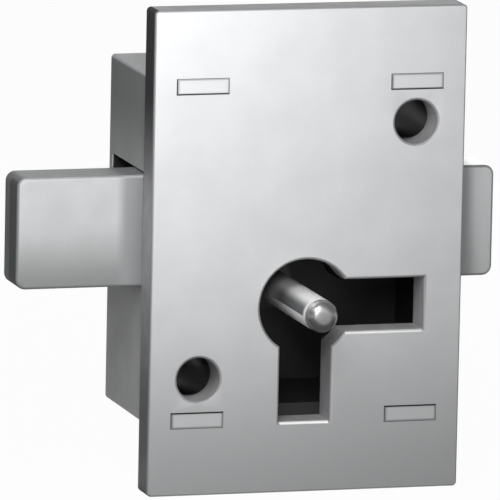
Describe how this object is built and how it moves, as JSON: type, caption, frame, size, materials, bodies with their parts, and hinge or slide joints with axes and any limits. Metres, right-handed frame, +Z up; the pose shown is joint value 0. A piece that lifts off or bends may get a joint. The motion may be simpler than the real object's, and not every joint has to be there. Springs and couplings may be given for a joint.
{
  "type": "drawer lock",
  "caption": "Drawer lock with a flat face plate, a shallow case behind it, a sideways sliding bolt and an L-shaped keyhole round a drill pin for a hollow key.",
  "frame": {"origin": "centre of the front plate's front face", "axes": "X along the bolt with -X where it is thrown, +Y from the front face into the case, +Z up the plate"},
  "size_m": [0.0506, 0.0248, 0.05],
  "materials": {
    "plate_steel": "satin bright zinc plated steel",
    "case_steel": "bright zinc plated folded sheet steel",
    "bolt_steel": "satin plated steel bar",
    "pin_steel": "smooth turned steel",
    "turned_steel": "turned steel",
    "lever_brass": "stamped sheet brass",
    "spring_bronze": "rolled spring bronze"
  },
  "bodies": {
    "case": {"front_plate": "plate_steel", "case_shell": "case_steel", "drill_pin": "pin_steel", "lever_post": "turned_steel", "lever_stop": "turned_steel", "rear_spacer": "turned_steel", "spring_block": "turned_steel", "bolt_rest_left": "turned_steel", "bolt_rest_right": "turned_steel", "screw_sleeve_upper": "turned_steel", "screw_sleeve_lower": "turned_steel", "lever_washer_1": "turned_steel", "lever_washer_2": "turned_steel", "lever_washer_3": "turned_steel", "lever_washer_4": "turned_steel", "lever_spring_1": "spring_bronze", "lever_spring_2": "spring_bronze", "lever_spring_3": "spring_bronze", "lever_spring_4": "spring_bronze"},
    "bolt": {"bolt": "bolt_steel", "bolt_stump": "turned_steel"},
    "lever_1": {"lever_1": "lever_brass"},
    "lever_2": {"lever_2": "lever_brass"},
    "lever_3": {"lever_3": "lever_brass"},
    "lever_4": {"lever_4": "lever_brass"}
  },
  "joints": [
    {"name": "bolt_slide", "type": "slide", "parent": "case", "child": "bolt", "axis": [1, 0, 0], "range_m": [0, 0.0088]},
    {"name": "lever_1_lift", "type": "hinge", "parent": "case", "child": "lever_1", "pos_m": [-0.0116, 0.009, 0.0102], "axis": [0, -1, 0], "range_deg": [0, 7.5], "deforming": ["lever_spring_1"]},
    {"name": "lever_2_lift", "type": "hinge", "parent": "case", "child": "lever_2", "pos_m": [-0.0116, 0.009, 0.0102], "axis": [0, -1, 0], "range_deg": [0, 6.5], "deforming": ["lever_spring_2"]},
    {"name": "lever_3_lift", "type": "hinge", "parent": "case", "child": "lever_3", "pos_m": [-0.0116, 0.009, 0.0102], "axis": [0, -1, 0], "range_deg": [0, 8], "deforming": ["lever_spring_3"]},
    {"name": "lever_4_lift", "type": "hinge", "parent": "case", "child": "lever_4", "pos_m": [-0.0116, 0.009, 0.0102], "axis": [0, -1, 0], "range_deg": [0, 7], "deforming": ["lever_spring_4"]}
  ],
  "couplings": [
    {"joint": "lever_1_lift", "follows": "bolt_slide", "rad_per_m": 14.875},
    {"joint": "lever_2_lift", "follows": "bolt_slide", "rad_per_m": 12.892},
    {"joint": "lever_3_lift", "follows": "bolt_slide", "rad_per_m": 15.867},
    {"joint": "lever_4_lift", "follows": "bolt_slide", "rad_per_m": 13.883}
  ]
}
